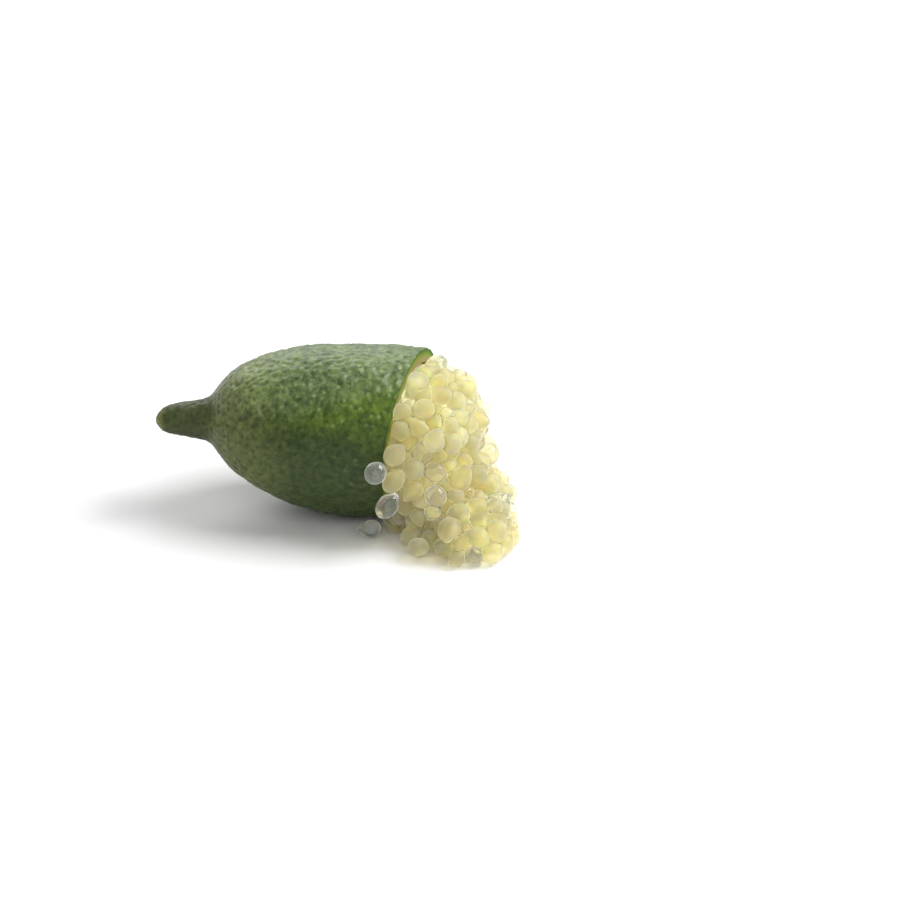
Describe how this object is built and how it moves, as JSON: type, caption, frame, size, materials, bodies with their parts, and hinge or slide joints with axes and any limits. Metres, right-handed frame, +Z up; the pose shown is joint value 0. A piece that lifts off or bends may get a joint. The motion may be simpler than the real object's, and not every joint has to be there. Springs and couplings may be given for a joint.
{
  "type": "cut finger lime",
  "caption": "Half a green finger lime lying on its side, narrowed to a neck at one end, with pale juice pearls bulging out of the cut and spilling onto the surface.",
  "frame": {"origin": "middle of the small flat spot on the peel's belly, on the surface that the fruit lies on", "axes": "+X along the fruit from its neck to its cut, +Y to the far side, away from the pearls' spill, +Z up"},
  "size_m": [0.0456, 0.0285, 0.0215],
  "materials": {
    "peel": "waxy, finely pimpled dark green citrus skin, yellow-green at the cut edge",
    "pearl": "wet, translucent pale yellow juice vesicles"
  },
  "bodies": {
    "root": {"peel": "peel", "pearl_heap": "pearl", "loose_pearl": "pearl"}
  },
  "joints": []
}
